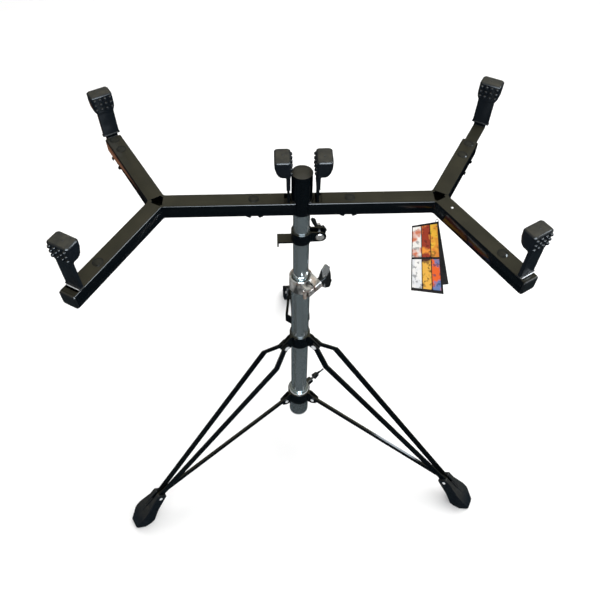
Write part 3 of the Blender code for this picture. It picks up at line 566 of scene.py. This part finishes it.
def build_boot(pad):
    """Moulded boot: a flat neck that widens into a head, with grip knobs on its upright face."""
    side, row = PADS[pad]
    place = fork_frame(side, row)
    low, high = span(f"boot_{pad}", place)
    crown = high.z - 0.8 * MM                     # the pips on top reach the full height
    turn = 1 if row <= 0 else -1                  # which way the knobs face along the tube
    strap = span(f"bracket_{pad}", place)[1].x - 2 * MM
    local = place @ Matrix.Translation((strap, 0, 0)) @ Matrix.Scale(turn, 4, (1, 0, 0))
    face, back, half = 4.3 * MM, 22.4 * MM, 19.6 * MM
    neck, neck_half = 3.3 * MM, 14.9 * MM
    # depth below the top, how far it reaches to the front, to the back and to each side, corner radius
    shape = ((crown - low.z, neck, neck, neck_half, 1.4 * MM),
             (37.0 * MM, neck, neck, neck_half, 1.4 * MM),
             (34.0 * MM, neck + 0.3 * MM, neck + 1.6 * MM, neck_half + 0.3 * MM, 1.8 * MM),
             (33.0 * MM, face, 11.5 * MM, neck_half + 1.0 * MM, 3.0 * MM),
             (31.8 * MM, face, 14.5 * MM, neck_half + 2.0 * MM, 4.0 * MM),
             (28.5 * MM, face, 17.0 * MM, neck_half + 3.6 * MM, 4.6 * MM),
             (24.0 * MM, face, 19.3 * MM, half - 0.2 * MM, 5.0 * MM),
             (14.0 * MM, face, back - 0.4 * MM, half, 5.0 * MM),
             (4.2 * MM, face, back, half, 5.0 * MM), (3.0 * MM, face, back, half, 5.0 * MM),
             (2.5 * MM, face - 0.2 * MM, back - 0.2 * MM, half - 0.2 * MM, 4.9 * MM),
             (0.3 * MM, face - 2.3 * MM, back - 2.3 * MM, half - 2.3 * MM, 3.6 * MM),
             (0.0, face - 2.9 * MM, back - 2.9 * MM, half - 2.9 * MM, 3.3 * MM))
    bm = bmesh.new()
    loft(bm, [rounded(-behind, front, wide, crown - depth, radius)
              for depth, front, behind, wide, radius in shape], local)
    body = f"pad_{pad}"
    boot = add_piece(f"{pad}_boot", bm, RUBBER, body, 42)
    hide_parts(f"boot_{pad}")

    bm = bmesh.new()
    pitch = 9.2 * MM
    for level in range(3):
        for column in range(4):
            spot = (face, (column - 1.5) * pitch, crown - 7.6 * MM - level * pitch)
            knob = facing(spot, (1, 0, 0))
            rings = [circle(3.3 * MM, -0.4 * MM, 12), circle(3.1 * MM, 0.4 * MM, 12),
                     circle(2.4 * MM, 2.1 * MM, 12), circle(1.5 * MM, 2.9 * MM, 12)]
            loft(bm, rings, local @ knob)
    add_piece(f"{pad}_grip_knobs", bm, RUBBER, body, 60)
    bm = bmesh.new()
    pip_z = crown - 0.1 * MM
    dome(bm, local @ Matrix.Translation(((face - back) / 2, 2 * MM, pip_z)), 1.5 * MM, 0.8 * MM, 12)
    for shift in (-1, 1):
        spot = Matrix.Translation((5 * MM - back, shift * 9 * MM, pip_z))
        dome(bm, local @ spot, 0.8 * MM, 0.5 * MM, 10)
    add_piece(f"{pad}_mould_pips", bm, RUBBER, body)
    if row:
        bm = bmesh.new()
        lip_z = low.z + 1.0 * MM
        rings = []
        for grow, rise in ((0.1, -1.0), (0.9, -0.7), (1.2, 0.2), (0.9, 1.1), (0.1, 1.6)):
            thick = neck + grow * MM
            rings.append(rounded(-thick, thick, neck_half + grow * MM, lip_z + rise * MM, 1.6 * MM))
        loft(bm, rings, local)
        add_piece(f"{pad}_boot_lip", bm, RUBBER, body, 60)
        # painted highlight: a thin pale bead at the strap's bend below the neck, made bright to stand
        # for the glint there
        bm = bmesh.new()
        edge = Matrix.Translation((neck * turn + 1.2 * MM, 0, low.z + 0.1 * MM))
        lay = Matrix.Rotation(math.pi / 2, 4, "X")
        loft(bm, [circle(0.9 * MM, -12 * MM, 10), circle(1.2 * MM, -9 * MM, 10),
                  circle(1.2 * MM, 9 * MM, 10), circle(0.9 * MM, 12 * MM, 10)], local @ edge @ lay)
        add_piece(f"{pad}_strap_glint", bm, ZINC_PAINTED_SHINE, body, 60)


# ---------------------------------------------------------------- head: welds, plugs and rivets
def build_fork_welds(side):
    """Three upright fillets where the square tube ends meet."""
    label = "left" if side < 0 else "right"
    for index, row in enumerate((0, 1, -1)):
        away = fork_frame(side, row)
        outer = row == 0
        reach = 13.6 * MM if outer else 14.9 * MM
        radius = 4.6 * MM if outer else 3.3 * MM
        bm = bmesh.new()
        rings = []
        steps = 9
        for step in range(steps + 1):
            z = -TUBE_H + 0.8 * MM + (TUBE_H - 1.4 * MM) * step / steps
            swell = 1 + 0.05 * math.sin(2.1 * step + index)
            if step in (0, steps):
                swell *= 0.80
            rings.append([(x - reach, y, z) for x, y, z in circle(radius * swell, z, 18)])
        loft(bm, rings, away)
        add_piece(f"fork_weld_{label}_{index + 1}", bm, PAINT, "head", 60)


def build_sleeve_welds():
    """Beads round the foot of the sleeve, on the beam's top and down its front and back."""
    radius = 18.4 * MM
    base = COLUMN + Vector((0, 0, TUBE_TOP))
    for side in (0, 180):
        points = []
        for step in range(25):
            angle = math.radians(side - 52 + 104 * step / 24)
            points.append(base + Vector((radius * math.cos(angle), radius * math.sin(angle), 0.6 * MM)))
        bead(f"sleeve_weld_top_{'right' if side == 0 else 'left'}", points, 1.7 * MM, "head")
    edge = math.sqrt(radius ** 2 - (TUBE_W / 2) ** 2) + 0.4 * MM
    wall = TUBE_W / 2 + 0.2 * MM
    for name, x, y in (("front_left", -1, -1), ("front_right", 1, -1), ("rear_left", -1, 1),
                       ("rear_right", 1, 1)):
        points = [base + Vector((x * edge, y * wall, -1 * MM - step * 1.6 * MM))
                  for step in range(16)]
        bead(f"sleeve_weld_{name}", points, 1.5 * MM, "head")


def build_end_plug(pad):
    """Moulded plug that closes the outer end of a front arm."""
    side, row = PADS[pad]
    place = fork_frame(side, row)
    end = span(f"arm_{pad}", place)[1].x
    bm = bmesh.new()
    half, middle = TUBE_W / 2, -TUBE_H / 2
    sections = ((end - 4 * MM, 2.3), (end + 0.05 * MM, 2.3), (end + 0.1 * MM, 0.1),
                (end + 2.6 * MM, 0.0), (end + 4.2 * MM, 2.0))
    rings = []
    for x, inset in sections:
        y, z = half - inset * MM, TUBE_H / 2 - inset * MM
        cut = 2.6 * MM
        rings.append([(x, -y + cut, middle - z), (x, y - cut, middle - z), (x, y, middle - z + cut),
                      (x, y, middle + z - cut), (x, y - cut, middle + z), (x, -y + cut, middle + z),
                      (x, -y, middle + z - cut), (x, -y, middle - z + cut)])
    loft(bm, rings, place)
    plug = add_piece(f"end_plug_{pad}", bm, PLASTIC, "head", 50)
    soften(plug, 0.5 * MM, 2, 25)


def build_second_bolt(pad, at):
    """The rear arms carry a second bolt in their other hole: a domed head and a small wing nut."""
    place = fork_frame(*PADS[pad]) @ Matrix.Translation((at, 0, 0))
    bm = bmesh.new()
    dome(bm, place, 9.2 * MM, 3.0 * MM, 28)
    add_piece(f"{pad}_second_bolt", bm, ZINC, "head", 60)
    below = place @ Matrix.Translation((0, 0, -TUBE_H))
    bm = bmesh.new()
    loft(bm, [circle(3.0 * MM, -14 * MM, 16), circle(3.0 * MM, -6 * MM, 16),
              circle(5.6 * MM, -6 * MM, 16), circle(6.2 * MM, -0.2 * MM, 16)], below)
    thick, root = 1.3 * MM, 5 * MM                # half thickness of a wing, and where it leaves the hub
    for hand in (-1, 1):
        loft(bm, [[(-thick, hand * root, inner), (thick, hand * root, inner),
                   (thick, hand * tip, outer), (-thick, hand * tip, outer)]
                  for inner, tip, outer in ((-2 * MM, 15 * MM, -9 * MM), (-7 * MM, 14 * MM, -15 * MM))],
             below)
    add_piece(f"{pad}_second_nut", bm, ZINC, "head", 40)


def build_clamp_web():
    """Cast web that fills the gap between the wings of the clamp's nut beyond the bolt."""
    lug, roll = math.radians(-45), math.radians(-12)
    lug_reach = 30 * MM                           # from the column's axis to the bolt's
    half_span, middle_v, half_v, half_thick = 23.5 * MM, 46.8 * MM, 8.2 * MM, 1.6 * MM
    sides = 28
    up = Vector((0, 0, 1))
    middle = (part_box("height_clamp")[0].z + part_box("height_clamp")[1].z) / 2
    axis = Vector((-math.sin(lug), math.cos(lug), 0))
    across = up * math.cos(roll) + axis.cross(up) * math.sin(roll)
    thick = axis.cross(across)
    base = COLUMN + Vector((math.cos(lug), math.sin(lug), 0)) * lug_reach + up * middle
    bm = bmesh.new()
    rings = []
    for half in (-half_thick, half_thick):
        ring = []
        for step in range(sides):
            angle = math.tau * step / sides
            u, v = half_span * math.cos(angle), middle_v + half_v * math.sin(angle)
            ring.append(base + across * u + axis * v + thick * half)
        rings.append(ring)
    loft(bm, rings, Matrix.Identity(4))
    web = add_piece("clamp_nut_web", bm, WING_METAL, "clamp_nut", 40)
    soften(web, 1.0 * MM, 3)


def build_head_details():
    """Second bolts, clamp web, welds, plugs, a small bright dome on the front right arm and the rim
    round the sleeve's cap.
    """
    build_second_bolt("rear_left", 190 * MM)
    build_second_bolt("rear_right", 123 * MM)
    build_clamp_web()
    for side in (-1, 1):
        build_fork_welds(side)
    build_sleeve_welds()
    build_end_plug("front_left")
    build_end_plug("front_right")
    # a small pale dome where the front right arm shows a bright dot
    bm = bmesh.new()
    dome(bm, fork_frame(1, -1) @ Matrix.Translation((35 * MM, 0, 0)), 2.1 * MM, 0.9 * MM)
    add_piece("arm_bright_dome", bm, ZINC_PAINTED_SHINE, "head")
    bm = bmesh.new()
    foot = centre("sleeve_cap")
    foot.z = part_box("sleeve_cap")[0].z
    rings = [circle(16.6 * MM, 6.2 * MM, 48), circle(17.95 * MM, 6.2 * MM, 48),
             circle(18.15 * MM, 5.6 * MM, 48), circle(17.95 * MM, 5.0 * MM, 48)]
    loft(bm, rings, Matrix.Translation(foot))
    add_piece("sleeve_rim", bm, ZINC, "head")


# ---------------------------------------------------------------- tripod: rivets and shoes
def leg_matrix(side):
    """Local axes of a leg: X out from the column at floor height, Y across, Z up."""
    return Matrix.Translation(COLUMN) @ Matrix.Rotation(math.radians(LEGS[side]), 4, "Z")


def build_slider_rims():
    """Rolled rims on the sliding sleeve's upper end and on the stop ring's lower end, in pale metal
    whose brightness is partly painted highlight.
    """
    sides = 64
    rolled = ((-3.6, 0.3), (-0.6, 0.1), (0.5, 1.0), (0.5, 2.8), (-0.4, 3.8), (-3.6, 3.0))
    for node, name, body in (("slider_sleeve", "slider_rim", "slider"),
                             ("tube_stop", "stop_rim", "tripod")):
        low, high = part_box(node)
        radius = (high.x - low.x) / 2
        height = high.z if node == "slider_sleeve" else low.z
        drop = -1 if node == "slider_sleeve" else 1
        bm = bmesh.new()
        rings = [circle(radius + grow * MM, height + drop * depth * MM, sides) for grow, depth in rolled]
        loops = [[bm.verts.new(COLUMN + Vector(p)) for p in ring] for ring in rings]
        for first, second in zip(loops, loops[1:] + loops[:1]):
            for i in range(sides):
                j = (i + 1) % sides
                bm.faces.new((first[i], first[j], second[j], second[i]))
        add_piece(name, bm, ZINC_PAINTED_SHINE, body, 60)


def build_leg_details(side):
    """Rivet heads at a leg's foot and at its slider ear, and the ridge and ribs moulded on its shoe."""
    place = leg_matrix(side)
    rivet_x, rivet_z = 410 * MM, 80 * MM
    bm = bmesh.new()
    for across in (-1, 1):
        stand = facing((rivet_x, across * 13.1 * MM, rivet_z), (0, across, 0))
        dome(bm, place @ stand, 4.4 * MM, 2.4 * MM, 20, 1 * MM)
    add_piece(f"foot_rivet_{side}", bm, ZINC_PAINTED_SHINE, f"leg_{side}")

    bm = bmesh.new()
    slider_x, slider_z = 41 * MM, 190 * MM
    for across in (-1, 1):
        stand = facing((slider_x, across * 7.9 * MM, slider_z), (0, across, 0))
        dome(bm, place @ stand, 4.2 * MM, 2.0 * MM, 20, 1 * MM)
    add_piece(f"slider_rivet_{side}", bm, ZINC_PAINTED_SHINE, "slider")

    pivot_x, pivot_z = 77.6 * MM, 404 * MM
    slope = math.atan2(rivet_z - pivot_z, rivet_x - pivot_x)
    along = Vector((math.cos(slope), 0, math.sin(slope)))
    out = Vector((-math.sin(slope), 0, math.cos(slope)))
    origin = Vector((rivet_x, 0, rivet_z)) + out * 12.9 * MM

    def on_shoe(forward, sideways, raised):
        """Point on the shoe's upper face, from distances in mm."""
        return origin + along * forward * MM + out * raised * MM + Vector((0, sideways * MM, 0))

    bm = bmesh.new()
    ridge = ((10, 1.6, 0.0), (16, 2.4, 1.1), (52, 2.4, 1.2), (60, 1.4, 0.2))
    loft(bm, [[on_shoe(forward, y, z)
               for y, z in ((-half, -1.5), (half, -1.5), (half * 0.6, top), (-half * 0.6, top))]
              for forward, half, top in ridge], place)
    for index in range(4):
        forward, end = 36 + index * 6.0, 15.5 - index * 1.6
        for hand in (-1, 1):
            loft(bm, [[on_shoe(forward + ahead, hand * y, z)
                       for ahead, z in ((-1.1, -1.2), (1.1, -1.2), (0.6, 0.75), (-0.6, 0.75))]
                      for y in (4.0, end)], place)
    ribs = add_piece(f"shoe_ribs_{side}", bm, RUBBER, f"leg_{side}", 50)
    soften(ribs, 0.35 * MM, 2, 30)


# ---------------------------------------------------------------- hang tag
def leaf_patch(bm, place, corners, u_span, v_span, front, back, bow, steps=8):
    """Curved sheet over part of a four-cornered leaf, given as fractions across and down it."""
    top_left, top_right, low_right, low_left = corners

    def at(u, v, lift):
        top = Vector(top_left).lerp(Vector(top_right), u)
        low = Vector(low_left).lerp(Vector(low_right), u)
        point = top.lerp(low, v)
        return (point.x, lift - bow * math.sin(math.pi * u) * (0.4 + 0.6 * v), point.y)

    rings = []
    for step in range(steps + 1):
        u = u_span[0] + (u_span[1] - u_span[0]) * step / steps
        rings.append([at(u, v_span[0], front), at(u, v_span[0], back),
                      at(u, v_span[1], back), at(u, v_span[1], front)])
    loft(bm, rings, place)


def build_tag():
    """Folded retail card with a plain border and six panels of abstract colour, on a nylon tie."""
    hang = Vector((FORK_X[1], COLUMN.y - 34 * MM, TUBE_TOP - 33.5 * MM))
    lean = Matrix.Rotation(math.radians(-56), 4, "X") @ Matrix.Rotation(math.radians(4), 4, "Y")
    tilt = Matrix.Translation(hang) @ lean
    # corners from the upper left one round, in mm from the hang point
    front = [Vector((x * MM, z * MM)) for x, z in ((-46, -6), (0, 4), (12, -121), (-44, -117))]
    back = [Vector((x * MM, z * MM)) for x, z in ((-43, -9), (0.5, 3), (21, -103), (-30, -112))]
    bm = bmesh.new()
    leaf_patch(bm, tilt, front, (0, 1), (0, 1), -0.35 * MM, 0.35 * MM, 1.2 * MM)
    first = add_piece("tag_front_leaf", bm, CARD_BLACK, "tag")
    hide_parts("hang_tag")
    bm = bmesh.new()
    leaf_patch(bm, tilt, back, (0, 1), (0, 1), 3.0 * MM, 3.7 * MM, -0.8 * MM)
    add_piece("tag_back_leaf", bm, CARD_BLACK, "tag")
    columns = ((0.03, 0.33), (0.36, 0.64), (0.67, 0.93))
    rows = ((0.03, 0.49), (0.52, 0.955))
    for row, v_span in enumerate(rows):
        for column, u_span in enumerate(columns):
            bm = bmesh.new()
            leaf_patch(bm, tilt, front, u_span, v_span, -0.60 * MM, -0.30 * MM, 1.2 * MM, 4)
            number = row * len(columns) + column
            add_piece(f"tag_panel_{number + 1}", bm, CARD_INKS[number], "tag")
    curve = bpy.data.curves.new("tag_tie", "CURVE")
    curve.dimensions = "3D"
    curve.bevel_depth = 0.5 * MM
    curve.bevel_resolution = 3
    spline = curve.splines.new("POLY")
    tie_points = 32
    spline.points.add(tie_points - 1)
    for i, slot in enumerate(spline.points):
        angle = math.tau * i / tie_points
        rise = math.sin(angle)
        slot.co = (hang.x - 3 * MM + 1.5 * MM * rise, hang.y + 1 * MM + 7.5 * MM * math.cos(angle),
                   hang.z + 1 * MM + 4.5 * MM * rise, 1)
    spline.use_cyclic_u = True
    curve.materials.append(PLASTIC)
    tie = bpy.data.objects.new("tag_tie", curve)
    bpy.context.scene.collection.objects.link(tie)
    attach(tie, "tag")


# ---------------------------------------------------------------- the whole stand
build_camera()
build_stage()
dress_nodes()
for pad_name in PADS:
    build_boot(pad_name)
build_head_details()
for leg_name in LEGS:
    build_leg_details(leg_name)
build_slider_rims()
build_tag()
